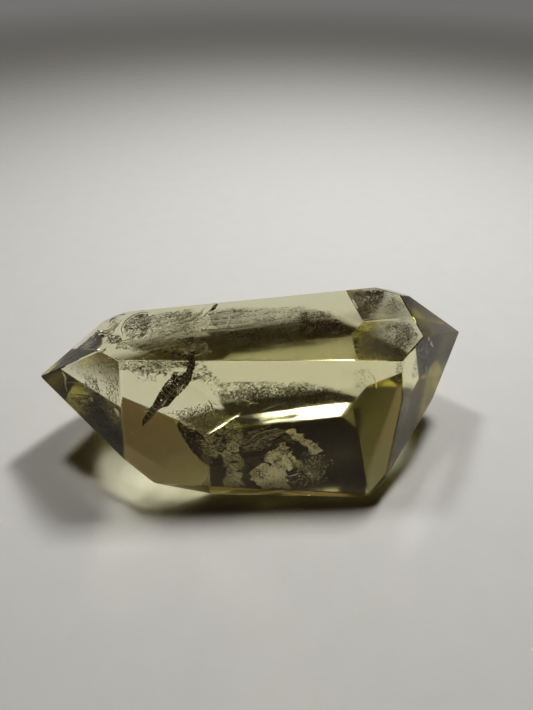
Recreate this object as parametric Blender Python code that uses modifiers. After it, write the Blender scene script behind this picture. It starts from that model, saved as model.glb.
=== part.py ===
"""A citrine crystal point, repolished, lying on one of its broad flat sides.

The crystal is one natural piece: a six-sided quartz prism, flattened and tapered,
that ends in a six-sided point at each end. It is shaped from a block the way a
lapidary facets a stone. Each facet is one flat cut, given by where it looks and how
far it stands from a fixed point inside the stone. The sharp edges are then eased, and
three shallow chips are knocked off the ridge at the shoulder of the long point.

Units are metres. +X runs along the crystal to its stout point, -Y is the broad front
side, +Z is up, and the origin is on the table under the middle of the stone's length
and depth.
"""

from math import cos, radians, sin

import bmesh
import bpy
from mathutils import Vector

MM = 0.001

# Driving dimensions.
LENGTH = 75.0 * MM          # tip to tip
MID_HEIGHT = 12.0 * MM      # the crystal's long axis lies this high above the table
LEFT_TIP_RISE = 2.6 * MM    # how far each tip lies above the long axis
RIGHT_TIP_RISE = 3.9 * MM
LEFT_TIP_BACK = 0.9 * MM    # and how far behind it
RIGHT_TIP_BACK = 4.8 * MM
EDGE_WEAR = 0.25 * MM       # width of the soft polished line along every edge
WEAR_STEPS = 2
SOFT_EDGE_ANGLE = radians(4.0)   # edges that turn less than this stay as they are
SAME_CORNER = 0.4 * MM      # corners closer than this are one corner
ROUGH_BLOCK = 2.0 * LENGTH  # side of the block that the facets are cut from

MIDDLE = Vector((0.0, 0.0, MID_HEIGHT))
LEFT_TIP = Vector((-LENGTH / 2, LEFT_TIP_BACK, MID_HEIGHT + LEFT_TIP_RISE))
RIGHT_TIP = Vector((LENGTH / 2, RIGHT_TIP_BACK, MID_HEIGHT + RIGHT_TIP_RISE))

# The facets. Turn is how far round the long axis a facet looks, in degrees: 0 is up,
# 90 is the front, 180 is down and -90 is the back. Lean is how far it looks toward the
# stout point, in degrees, and it is negative toward the long point. Reach is how many
# millimetres the facet stands outside MIDDLE for a side or a shoulder, and outside the
# tip for a facet of a point, so that 0 there is a facet that runs through the tip.
SIDES = {
    "resting": (180.0, 0.0, 12.0),
    "top": (-1.0, 1.4, 11.8),
    "front": (67.5, -2.8, 12.6),
    "front_under": (107.0, -6.5, 19.0),
    "back_under": (-131.0, -4.0, 13.9),
    "back": (-54.5, -4.5, 13.0),
}
LONG_POINT = {
    "top": (-4.0, -37.0, 0.0),
    "front": (64.5, -36.5, 0.0),
    "front_under": (131.5, -45.0, 0.0),
    "under": (-179.5, -27.5, 0.0),
    "back_under": (-154.5, -21.0, 3.0),
    "back": (-54.5, -32.0, 0.4),
}
STOUT_POINT = {
    "top": (-2.0, 31.5, 0.0),
    "front": (65.5, 45.0, 0.0),
    "front_low": (75.5, 42.0, 1.8),
    "front_under": (136.0, 49.0, 1.9),
    "under": (177.5, 39.0, 0.0),
    "back_under": (-118.0, 37.0, 0.1),
    "back": (-59.0, 36.0, 0.0),
}
SHOULDERS = {
    "stout_end": (-24.0, 16.0, 19.7),
    "long_end": (-25.0, -18.0, 19.3),
}

# The chips. Each is a shallow shell struck out of the ridge between the top side and
# the long point's top facet: how far along the ridge from the back shoulder to the
# front one, the shell's radius and its depth, in millimetres.
RIDGE_BACK = Vector((-24.1 * MM, 4.9 * MM, 24.3 * MM))
RIDGE_FRONT = Vector((-24.7 * MM, -4.7 * MM, 24.5 * MM))
CHIPS = {
    "chip_wide": (0.30, 5.0, 0.75),
    "chip_rib": (0.48, 3.2, 0.60),
    "chip_corner": (0.97, 2.0, 0.35),
}
CHIP_LOOKS = (-3.0, -18.0)  # turn and lean of the blow, halfway between the two facets

PALE_CITRINE = (0.72, 0.70, 0.42, 1.0)
POLISHED = 0.02
QUARTZ_IOR = 1.544


def facet_normal(turn, lean):
    """The direction that a facet looks in."""
    around = radians(turn)
    along = radians(lean)
    return Vector((sin(along), -cos(along) * sin(around), cos(along) * cos(around)))


def cut_facet(stone, start, turn, lean, reach):
    """Cuts off what lies beyond one facet and closes the stone with the facet's face."""
    normal = facet_normal(turn, lean)
    cut = bmesh.ops.bisect_plane(
        stone,
        geom=stone.verts[:] + stone.edges[:] + stone.faces[:],
        plane_co=start + normal * reach * MM,
        plane_no=normal,
        clear_outer=True,
    )
    rim = [item for item in cut["geom_cut"] if isinstance(item, bmesh.types.BMEdge)]
    bmesh.ops.contextual_create(stone, geom=rim)


def faceted_stone():
    """The mesh of the stone with every facet cut and its edges still sharp."""
    stone = bmesh.new()
    bmesh.ops.create_cube(stone, size=ROUGH_BLOCK)
    cuts = ((MIDDLE, SIDES), (LEFT_TIP, LONG_POINT), (RIGHT_TIP, STOUT_POINT), (MIDDLE, SHOULDERS))
    for start, facets in cuts:
        for turn, lean, reach in facets.values():
            cut_facet(stone, start, turn, lean, reach)
    bmesh.ops.remove_doubles(stone, verts=stone.verts[:], dist=SAME_CORNER)
    bmesh.ops.recalc_face_normals(stone, faces=stone.faces[:])
    mesh = bpy.data.meshes.new("crystal")
    stone.to_mesh(mesh)
    stone.free()
    return mesh


def citrine():
    """Clear, faintly smoky lemon quartz with a polished skin."""
    material = bpy.data.materials.new("citrine")
    material.use_nodes = True
    shader = material.node_tree.nodes["Principled BSDF"]
    shader.inputs["Base Color"].default_value = PALE_CITRINE
    shader.inputs["Roughness"].default_value = POLISHED
    shader.inputs["Metallic"].default_value = 0.0
    shader.inputs["IOR"].default_value = QUARTZ_IOR
    shader.inputs["Transmission Weight"].default_value = 1.0
    material.diffuse_color = PALE_CITRINE
    return material


def ease_edges(crystal):
    """Wears a narrow soft line along every edge between two facets."""
    wear = crystal.modifiers.new("edge_wear", "BEVEL")
    wear.width = EDGE_WEAR
    wear.segments = WEAR_STEPS
    wear.limit_method = "ANGLE"
    wear.angle_limit = SOFT_EDGE_ANGLE


def strike_chip(crystal, cutters, name, along, radius, depth):
    """Takes one shallow shell out of the ridge with a ball that only just bites it.

    Returns the ball, which is a cutter.
    """
    blow = facet_normal(*CHIP_LOOKS)
    struck = RIDGE_BACK.lerp(RIDGE_FRONT, along)
    ball_mesh = bpy.data.meshes.new(name)
    ball = bmesh.new()
    bmesh.ops.create_icosphere(ball, subdivisions=4, radius=radius * MM)
    ball.to_mesh(ball_mesh)
    ball.free()
    cutter = bpy.data.objects.new(name, ball_mesh)
    cutter.location = struck + blow * (radius - depth) * MM
    cutter.hide_render = True
    cutter.display_type = "WIRE"
    cutters.objects.link(cutter)
    bite = crystal.modifiers.new(name, "BOOLEAN")
    bite.operation = "DIFFERENCE"
    bite.solver = "EXACT"
    bite.object = cutter
    return cutter


def centre_on_table(stand, crystal):
    """Moves the stand so that the worn stone's middle is over the origin."""
    worn = crystal.evaluated_get(bpy.context.evaluated_depsgraph_get())
    corners = [Vector(corner) for corner in worn.bound_box]
    for axis in (0, 1):
        places = [corner[axis] for corner in corners]
        stand.location[axis] = -(min(places) + max(places)) / 2


def new_collection(name):
    """A collection linked to the scene."""
    collection = bpy.data.collections.new(name)
    bpy.context.scene.collection.children.link(collection)
    return collection


def main():
    """Builds the crystal in its own collection and the chip cutters in another."""
    for leftover in list(bpy.data.objects):
        bpy.data.objects.remove(leftover)
    parts = new_collection("citrine_crystal_point")
    cutters = new_collection("cutters")
    stand = bpy.data.objects.new("stand", None)
    parts.objects.link(stand)
    crystal = bpy.data.objects.new("crystal", faceted_stone())
    crystal.data.materials.append(citrine())
    crystal.parent = stand
    parts.objects.link(crystal)
    ease_edges(crystal)
    for name, (along, radius, depth) in CHIPS.items():
        cutter = strike_chip(crystal, cutters, name, along, radius, depth)
        cutter.parent = stand
    centre_on_table(stand, crystal)


main()
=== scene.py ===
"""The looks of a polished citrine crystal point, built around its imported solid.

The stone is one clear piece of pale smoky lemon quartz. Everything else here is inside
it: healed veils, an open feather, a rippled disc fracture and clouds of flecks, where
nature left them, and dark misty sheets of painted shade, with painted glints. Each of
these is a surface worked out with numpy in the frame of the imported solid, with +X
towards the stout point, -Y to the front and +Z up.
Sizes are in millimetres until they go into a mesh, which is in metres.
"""

import logging
from dataclasses import dataclass, field
from enum import Enum, IntEnum
from math import radians

import bmesh
import bpy
import numpy as np
from mathutils import Matrix, Vector


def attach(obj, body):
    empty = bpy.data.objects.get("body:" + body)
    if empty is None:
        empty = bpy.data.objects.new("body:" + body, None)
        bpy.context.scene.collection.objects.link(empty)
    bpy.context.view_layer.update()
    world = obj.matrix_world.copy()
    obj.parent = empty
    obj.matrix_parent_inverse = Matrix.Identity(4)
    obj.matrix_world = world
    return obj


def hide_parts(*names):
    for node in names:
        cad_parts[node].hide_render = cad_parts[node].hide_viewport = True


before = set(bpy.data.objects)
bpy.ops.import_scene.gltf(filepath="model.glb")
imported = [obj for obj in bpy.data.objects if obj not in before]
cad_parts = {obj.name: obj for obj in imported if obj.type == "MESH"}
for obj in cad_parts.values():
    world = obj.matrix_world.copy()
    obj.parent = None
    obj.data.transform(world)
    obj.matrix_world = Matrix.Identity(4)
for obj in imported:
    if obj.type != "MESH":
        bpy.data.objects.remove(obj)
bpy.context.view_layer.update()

log = logging.getLogger("citrine_point")

Outline = tuple[tuple[float, float], ...]
Part = tuple[np.ndarray, np.ndarray, np.ndarray]  # points, faces and each point's lightness

MM = 0.001
STONE_NODE = "crystal"
BODY = "root"
# Each crack's lightness is partly its own tone and partly painted reflection, shade and glints.
LIGHTNESS = "lightness"  # the attribute that says how light a crack is at each of its points

SAME_CORNER = 0.001 * MM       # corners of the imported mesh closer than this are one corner
SAME_FACET = radians(0.05)     # faces that turn less than this are one facet
SKIN_MARGIN = 0.12 * MM        # how far behind the stone's facets everything in it stays
SMALLEST_FACET = 2.0 * MM**2   # smaller faces are worn edges and chips
DENSITY_ROOM = 1.15            # how much denser the tint's volume is than its strongest loss

LATTICE = 64          # random values along each side of the noise, before it repeats
CLOUD_SWING = 1.6     # widens cloudy noise, which keeps near its middle, to about -1 to 1

CELL = 0.13           # side of the squares that a crack is made of
FLECK_THICK = 0.03    # thickness of a fleck and of a crack's wall
SHEET_STEP = 0.02     # how far each patch of a crack lies off the last
STREAK_RISE = 0.2     # how far a streak lies off its crack
BOW_REACH = 10.0      # how far from its middle a break's bow is measured
EDGE_SIZE = 0.8       # sizes of the noise that makes a patch's edge ragged, its gaps,
GAP_SIZE = 1.2        # its relief and its mist
RELIEF_SIZE = 2.5
MIST_SIZE = 3.0
MIST_SWING = 0.5      # how far the share of squares in a mist swings about its mean

STRIPE_WANDER = 0.3   # how far stripes and rings stray from their way, in pitches
RING_WANDER = 0.5
RING_MOTTLE = 0.6     # how strong the soft blotches are beside rings and beside creases
CREASE_MOTTLE = 0.5
CREASE_REST = 0.6     # the mark between creases, and how far it falls in one
CREASE_FALL = 2.2
CREASE_WIDTH = 0.16   # how wide a crease is, as a share of the noise's swing
CREASE_OCTAVES = 3

STREAK_STEPS = 8      # points along a streak for each point of its path
STREAK_TIP = 0.06     # how much of the taper's half wave is cut off at each end
STREAK_FULLNESS = 0.6  # the taper's power: lower is fuller
STREAK_CROWN = 0.25   # how far a streak's middle line stands off its sides' middle, in widths

FLECK_TRIES = 8       # places tried for each fleck
FLECK_TILT = 0.35     # how far flecks tip out of their plane, in radians
FLECK_FACES = 8
FLECK_CORNERS = 6

BREAK_SEEDS = 100     # random seeds kept for each break's patches, for each patch,
PATCH_SEEDS = 10      # and for each break's flecks
FLECK_SEEDS = 1000


def linear(hex_colour: str, alpha: float = 1.0) -> tuple[float, float, float, float]:
    """Turns an sRGB hex colour such as "#c8c8aa" into linear RGBA.

    Args:
        hex_colour: the colour, as six hex digits after a hash.
        alpha: the fourth value.

    Returns:
        Red, green, blue and alpha, where each colour c above 0.04045 is
        ((c + 0.055) / 1.055) ** 2.4 and each smaller one is c / 12.92.
    """
    channels = [int(hex_colour[i:i + 2], 16) / 255 for i in (1, 3, 5)]
    red, green, blue = (
        ((c + 0.055) / 1.055) ** 2.4 if c > 0.04045 else c / 12.92 for c in channels
    )
    return red, green, blue, alpha


def add_node(
    material: bpy.types.ID, kind: str, links: dict | None = None, **settings: object
) -> bpy.types.Node:
    """Adds one shader node with its settings and links.

    Args:
        material: the material or world whose node tree gets the node.
        kind: the node's type, such as "ShaderNodeTexNoise".
        links: the node's input names, each with the output socket that feeds it.
        settings: attributes of the node, or its inputs by name with spaces as underscores.

    Returns:
        The new node.
    """
    node = material.node_tree.nodes.new(kind)
    for name, value in settings.items():
        if hasattr(node, name):
            setattr(node, name, value)
        else:
            node.inputs[name.replace("_", " ")].default_value = value
    for name, socket in (links or {}).items():
        material.node_tree.links.new(socket, node.inputs[name])
    return node


def new_material(name: str) -> bpy.types.Material:
    """A node material with an empty tree."""
    material = bpy.data.materials.new(name)
    material.use_nodes = True
    material.node_tree.nodes.clear()
    return material


@dataclass(frozen=True)
class PolishedCitrine:
    """Clear citrine quartz, sawn, ground and polished by hand.

    The polish leaves a smooth skin that mirrors lamps with a slightly soft edge. The
    colour is in the depth of the stone, so thin parts look nearly colourless and long
    paths look olive.
    """

    ior: float = 1.544
    roughness: float = 0.08
    # Light lost to the stone's tint in each millimetre, for red, green and blue.
    loss_per_mm: tuple[float, float, float] = (0.0065, 0.0078, 0.0225)

    def material(self) -> bpy.types.Material:
        """Makes the glass: a plain transmissive skin around a plain absorbing volume.

        Returns:
            The material. Its volume takes density * (1 - tint) of each colour in a metre.
        """
        stone = new_material("polished_citrine_quartz")
        density = max(self.loss_per_mm) / MM * DENSITY_ROOM
        tint = tuple(1 - loss / MM / density for loss in self.loss_per_mm)
        skin = add_node(
            stone,
            "ShaderNodeBsdfPrincipled",
            Base_Color=linear("#ffffff"),
            Roughness=self.roughness,
            IOR=self.ior,
            Transmission_Weight=1.0,
        )
        depth = add_node(
            stone, "ShaderNodeVolumeAbsorption", Color=(*tint, 1.0), Density=density
        )
        add_node(
            stone,
            "ShaderNodeOutputMaterial",
            {"Surface": skin.outputs["BSDF"], "Volume": depth.outputs["Volume"]},
        )
        return stone


@dataclass(frozen=True)
class MattPaper:
    """Uncoated white card, pressed from pulp: dull, with a faint cloudy mottle.

    Its far end is given painted light: the card glows faintly there by itself, in place of light from the
    room beyond.
    """

    light: str = "#dcdbd6"
    dark: str = "#d6d5cf"
    cloud_mm: float = 5.0
    cloud_detail: float = 5.0
    roughness: float = 0.9
    sheen: float = 0.1
    # Painted light: the far end of the card glows by itself, in place of light from the room beyond.
    glow: float = 0.16
    painted_glow_starts_mm: float = 270.0  # how far from the stone the glow starts, and where it is full
    painted_glow_full_mm: float = 550.0

    def material(self) -> bpy.types.Material:
        """Makes the card: two near whites mixed by noise a few millimetres across.

        Returns:
            The material. Its painted glow rises smoothly with the distance from the origin.
        """
        paper = new_material("matt_pressed_paper")
        paper.cycles.emission_sampling = "NONE"
        place = add_node(paper, "ShaderNodeTexCoord")
        cloudy = add_node(
            paper,
            "ShaderNodeTexNoise",
            {"Vector": place.outputs["Object"]},
            Scale=1 / (self.cloud_mm * MM),
            Detail=self.cloud_detail,
        )
        tone = add_node(
            paper,
            "ShaderNodeMix",
            {"Factor": cloudy.outputs["Fac"]},
            data_type="RGBA",
            A=linear(self.dark),
            B=linear(self.light),
        )
        away = add_node(
            paper, "ShaderNodeVectorMath", {0: place.outputs["Object"]}, operation="LENGTH"
        )
        # The painted glow at the card's far end.
        far = add_node(
            paper,
            "ShaderNodeMapRange",
            {"Value": away.outputs["Value"]},
            interpolation_type="SMOOTHSTEP",
            From_Min=self.painted_glow_starts_mm * MM,
            From_Max=self.painted_glow_full_mm * MM,
            To_Max=self.glow,
        )
        skin = add_node(
            paper,
            "ShaderNodeBsdfPrincipled",
            {"Base Color": tone.outputs["Result"], "Emission Strength": far.outputs["Result"]},
            Roughness=self.roughness,
            Specular_IOR_Level=self.sheen,
        )
        add_node(paper, "ShaderNodeOutputMaterial", {"Surface": skin.outputs["BSDF"]})
        return paper


@dataclass(frozen=True)
class FracturedQuartz:
    """Quartz along a crack or a healed veil, broken and never polished.

    Air and liquid in the break throw the light back, so it looks from smoky brown to
    silvery white, in grains about a sixth of a millimetre across. That thrown-back light is
    painted into the colour, and the dark end also serves as painted shade.
    """

    dark: str = "#41321a"
    light: str = "#fbf7ea"
    roughness: float = 0.6
    sheen: float = 0.08
    grain_mm: float = 0.16
    grain_detail: float = 2.0
    grain_low: float = 0.3  # the noise's usual lowest and highest, and how far they change the light
    grain_high: float = 0.7
    grain_depth: float = 0.25

    def material(self) -> bpy.types.Material:
        """Makes the break: the mesh's own lightness, roughened by a fine grain.

        Returns:
            The material. Its colour goes from dark to light by lightness times grain.
        """
        broken = new_material("fractured_quartz")
        place = add_node(broken, "ShaderNodeTexCoord")
        light = add_node(broken, "ShaderNodeAttribute", attribute_name=LIGHTNESS)
        grain = add_node(
            broken,
            "ShaderNodeTexNoise",
            {"Vector": place.outputs["Object"]},
            Scale=1 / (self.grain_mm * MM),
            Detail=self.grain_detail,
        )
        coarse = add_node(
            broken,
            "ShaderNodeMapRange",
            {"Value": grain.outputs["Fac"]},
            From_Min=self.grain_low,
            From_Max=self.grain_high,
            To_Min=1 - self.grain_depth,
            To_Max=1 + self.grain_depth,
        )
        shade = add_node(
            broken,
            "ShaderNodeMath",
            {0: light.outputs["Fac"], 1: coarse.outputs["Result"]},
            operation="MULTIPLY",
            use_clamp=True,
        )
        colour = add_node(
            broken,
            "ShaderNodeMix",
            {"Factor": shade.outputs["Value"]},
            data_type="RGBA",
            A=linear(self.dark),
            B=linear(self.light),
        )
        skin = add_node(
            broken,
            "ShaderNodeBsdfPrincipled",
            {"Base Color": colour.outputs["Result"]},
            Roughness=self.roughness,
            Specular_IOR_Level=self.sheen,
        )
        add_node(broken, "ShaderNodeOutputMaterial", {"Surface": skin.outputs["BSDF"]})
        return broken


@dataclass
class Stone:
    """The polished stone itself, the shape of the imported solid."""

    finish: PolishedCitrine = field(default_factory=PolishedCitrine)

    def build(self) -> bpy.types.Object:
        """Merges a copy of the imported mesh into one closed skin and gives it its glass.

        Returns:
            The stone's object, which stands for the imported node.
        """
        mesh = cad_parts[STONE_NODE].data.copy()
        mesh.name = "polished_stone"
        skin = bmesh.new()
        skin.from_mesh(mesh)
        bmesh.ops.remove_doubles(skin, verts=skin.verts[:], dist=SAME_CORNER)
        bmesh.ops.dissolve_limit(
            skin, angle_limit=SAME_FACET, verts=skin.verts[:], edges=skin.edges[:]
        )
        skin.to_mesh(mesh)
        skin.free()
        mesh.materials.clear()
        mesh.materials.append(self.finish.material())
        stone = bpy.data.objects.new("polished_stone", mesh)
        bpy.context.scene.collection.objects.link(stone)
        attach(stone, BODY)
        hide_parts(STONE_NODE)
        log.info("polished_stone: %d faces", len(mesh.polygons))
        return stone


def lattice_noise(u: np.ndarray, v: np.ndarray, size: float, seed: int) -> np.ndarray:
    """Smooth noise from 0 to 1.

    Random values stand at the corners of squares, and a point takes the mean of its four
    corners, weighted by s * s * (3 - 2 * s) along each side.

    Args:
        u: the points' first coordinate, in millimetres.
        v: their second.
        size: the side of the squares, in millimetres.
        seed: which random values.

    Returns:
        The noise at each point.
    """
    values = np.random.default_rng(seed).random((LATTICE, LATTICE))
    i, j = np.floor(u / size).astype(int), np.floor(v / size).astype(int)
    s, t = u / size - i, v / size - j
    s, t = s * s * (3 - 2 * s), t * t * (3 - 2 * t)
    i, j, k, l = i % LATTICE, j % LATTICE, (i + 1) % LATTICE, (j + 1) % LATTICE
    near = values[i, j] * (1 - s) + values[k, j] * s
    far = values[i, l] * (1 - s) + values[k, l] * s
    return near * (1 - t) + far * t


def cloud(u: np.ndarray, v: np.ndarray, size: float, seed: int, octaves: int = 4) -> np.ndarray:
    """Cloudy noise, about -1 to 1.

    Layers of lattice noise are summed, each with half the last one's size and weight.

    Args:
        u: the points' first coordinate, in millimetres.
        v: their second.
        size: the size of the largest clouds, in millimetres.
        seed: which random values.
        octaves: how many layers.

    Returns:
        The noise at each point.
    """
    layers = [lattice_noise(u, v, size / 2**k, seed + k) / 2**k for k in range(octaves)]
    middle = sum(0.5 / 2**k for k in range(octaves))
    return (sum(layers) - middle) / middle * CLOUD_SWING


def in_outline(u: np.ndarray, v: np.ndarray, outline: np.ndarray) -> np.ndarray:
    """Says which points lie in a closed outline.

    A level line from such a point crosses the outline's edges an odd number of times.

    Args:
        u: the points' first coordinate.
        v: their second.
        outline: the outline's corners, one row each.

    Returns:
        True for each point inside.
    """
    x1, y1 = outline.T
    x2, y2 = np.roll(outline, -1, axis=0).T
    level = np.where(y1 == y2, 1.0, y2 - y1)
    crosses = (y1 > v[..., None]) != (y2 > v[..., None])
    crosses &= u[..., None] < (x2 - x1) * (v[..., None] - y1) / level + x1
    return crosses.sum(axis=-1) % 2 == 1


def outline_distance(u: np.ndarray, v: np.ndarray, outline: np.ndarray) -> np.ndarray:
    """How far points lie from a closed outline.

    A point's foot on an edge is where a square line from it meets the edge, or the edge's
    nearer end, and its distance is that to the nearest foot.

    Args:
        u: the points' first coordinate.
        v: their second.
        outline: the outline's corners, one row each.

    Returns:
        The distance of each point.
    """
    run = np.roll(outline, -1, axis=0) - outline
    du, dv = u[..., None] - outline[:, 0], v[..., None] - outline[:, 1]
    foot = np.clip((du * run[:, 0] + dv * run[:, 1]) / (run**2).sum(axis=1), 0.0, 1.0)
    return np.hypot(du - foot * run[:, 0], dv - foot * run[:, 1]).min(axis=-1)


class Grain(Enum):
    """How the surface of a crack is marked."""

    CLOUDY = "soft blotches"
    STRIPED = "straight steps, side by side"
    CREASED = "sharp dark creases"
    RINGED = "rings round one point, as glass breaks"


class Draw(IntEnum):
    """What each patch draws at random, as steps on from its seed."""

    EDGE = 1
    GAPS = 2
    RELIEF = 3
    MARKS = 4
    MIST = 5
    SQUARES = 6
    CREASES = 9


@dataclass(frozen=True)
class Patch:
    """A piece of a crack: its outline in its plane, in millimetres, and its markings.

    Args:
        outline: its corners, and ragged is how far its edge strays from them.
        light: its mean lightness, from 0 to 1, and spread is how far its marks go from it.
        grain: the kind of its marks, and pitch their size in millimetres.
        cover: the share of it that is left once its ragged gaps are out.
        haze: the share of its squares that is left, picked at random, so that it looks like mist.
        fade: how many millimetres inside its outline the mist takes to reach its full share.
        heading: the way that stripes run, in degrees.
        centre: where rings start.
        relief: how high its bumps are, in millimetres.
    """

    outline: Outline
    light: float
    spread: float = 0.1
    grain: Grain = Grain.CLOUDY
    cover: float = 1.0
    haze: float = 1.0
    fade: float = 0.0
    pitch: float = 1.0
    heading: float = 0.0
    centre: tuple[float, float] = (0.0, 0.0)
    relief: float = 0.15
    ragged: float = 0.25

    def lightness(self, u: np.ndarray, v: np.ndarray, seed: int) -> np.ndarray:
        """The lightness of points of the plane: the mean plus the spread times the marks.

        Stripes are a saw wave across their way, from -1 to 1. Rings are a sine of the
        distance from their centre. A crease is a dark bell curve where cloudy noise
        passes 0. All are mixed with soft blotches.

        Args:
            u: the points' first coordinate, in millimetres.
            v: their second.
            seed: which random values.

        Returns:
            The lightness of each point, from 0 to 1.
        """
        soft = cloud(u, v, self.pitch * 2, seed)
        if self.grain is Grain.STRIPED:
            way = radians(self.heading)
            across = v * np.cos(way) - u * np.sin(way) + STRIPE_WANDER * self.pitch * soft
            marks = 2 * ((across / self.pitch) % 1.0) - 1
        elif self.grain is Grain.CREASED:
            folds = cloud(u, v, self.pitch, seed + Draw.CREASES, CREASE_OCTAVES)
            crease = CREASE_FALL * np.exp(-((folds / CREASE_WIDTH) ** 2))
            marks = CREASE_REST - crease + CREASE_MOTTLE * soft
        elif self.grain is Grain.RINGED:
            away = np.hypot(u - self.centre[0], v - self.centre[1])
            away = away + RING_WANDER * self.pitch * soft
            marks = np.sin(2 * np.pi * away / self.pitch) + RING_MOTTLE * soft
        else:
            marks = soft
        return np.clip(self.light + self.spread * marks, 0.0, 1.0)

    def mist(self, u: np.ndarray, v: np.ndarray, first: np.ndarray, seed: int) -> np.ndarray:
        """Picks the squares of a misty patch that are left.

        A square is left if its random number is less than the haze, swung by cloudy
        noise, times its distance from the outline over the fade, or 1 if that is less.

        Args:
            u: the first coordinate of the grid's points, in millimetres.
            v: their second.
            first: the number of each square's first point.
            seed: which random values.

        Returns:
            True for each square that is left.
        """
        share = self.haze * (1 + MIST_SWING * cloud(u, v, MIST_SIZE, seed + Draw.MIST))
        if self.fade:
            depth = outline_distance(u, v, np.array(self.outline))
            share = share * np.clip(depth / self.fade, 0.0, 1.0)
        drawn = np.random.default_rng(seed + Draw.SQUARES).random(len(first))
        return drawn < share.ravel()[first]


@dataclass(frozen=True)
class Streak:
    """A fine bright or dark line.

    Args:
        path: the points of its middle line, in millimetres.
        width: its greatest width, in millimetres.
        light: its lightness, from 0 to 1.
    """

    path: Outline
    width: float
    light: float


@dataclass(frozen=True)
class Flecks:
    """A swarm of flat flecks in an outline.

    Args:
        outline: its corners, in millimetres.
        count: how many flecks there are at most.
        length: the shortest and longest fleck, in millimetres, and slim is width over length.
        heading: the way they point, in degrees, and wander how far they stray from it.
        light: the darkest and lightest, and clumps the size of the clumps they come in.
        depth: how far they lie off the plane, in millimetres.
    """

    outline: Outline
    count: int
    length: tuple[float, float] = (0.2, 0.7)
    slim: float = 0.3
    heading: float = 10.0
    wander: float = 25.0
    light: tuple[float, float] = (0.2, 0.8)
    clumps: float = 1.2
    depth: float = 0.4


class StoneSpace:
    """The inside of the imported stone, which everything in it has to stay in."""

    def __init__(self, node: str, margin: float, smallest: float) -> None:
        """Reads the planes of a node's facets.

        Args:
            node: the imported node's name.
            margin: how far behind the facets the space starts, in metres.
            smallest: the least area of a facet, in square metres.
        """
        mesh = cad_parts[node].data
        count = len(mesh.polygons)
        normals, centres, areas = np.empty(count * 3), np.empty(count * 3), np.empty(count)
        mesh.polygons.foreach_get("normal", normals)
        mesh.polygons.foreach_get("center", centres)
        mesh.polygons.foreach_get("area", areas)
        facets = areas > smallest
        self.normals = normals.reshape(-1, 3)[facets]
        self.reach = (self.normals * centres.reshape(-1, 3)[facets]).sum(axis=1) - margin

    def holds(self, points: np.ndarray) -> np.ndarray:
        """Says which points lie behind every facet by the margin or more."""
        return (points @ self.normals.T < self.reach).all(axis=-1)


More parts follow.
